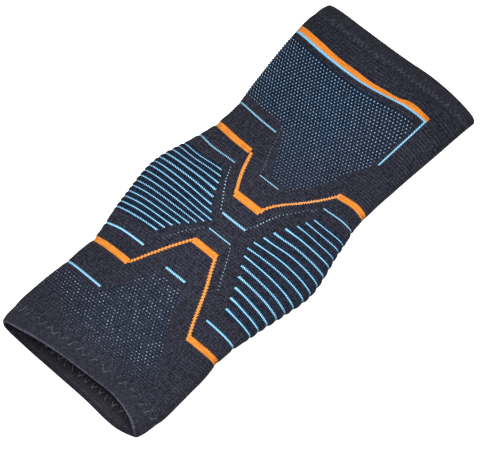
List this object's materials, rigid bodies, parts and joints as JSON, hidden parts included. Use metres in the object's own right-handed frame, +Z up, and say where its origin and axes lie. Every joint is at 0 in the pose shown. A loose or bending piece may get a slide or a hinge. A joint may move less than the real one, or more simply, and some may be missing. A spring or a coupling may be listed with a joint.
{
  "type": "knitted compression support sleeve",
  "caption": "Open-ended knitted compression sleeve for a joint, lying half flat, with a fuller ribbed middle and a turned hem at each end.",
  "frame": {"origin": "middle of the sleeve's box, on the surface that it lies on", "axes": "+X along the sleeve from the gaping near hem to the flatter far hem, +Y to the side with the closer rib rolls, +Z up"},
  "size_m": [0.2662, 0.117, 0.0235],
  "materials": {
    "striped_knit": "charcoal stretch knit with orange bars, light blue courses and dotted fields",
    "hem_knit": "plain charcoal knit, doubled and zigzag stitched"
  },
  "bodies": {
    "root": {"knit_tube": "striped_knit", "near_hem": "hem_knit", "far_hem": "hem_knit"}
  },
  "joints": []
}
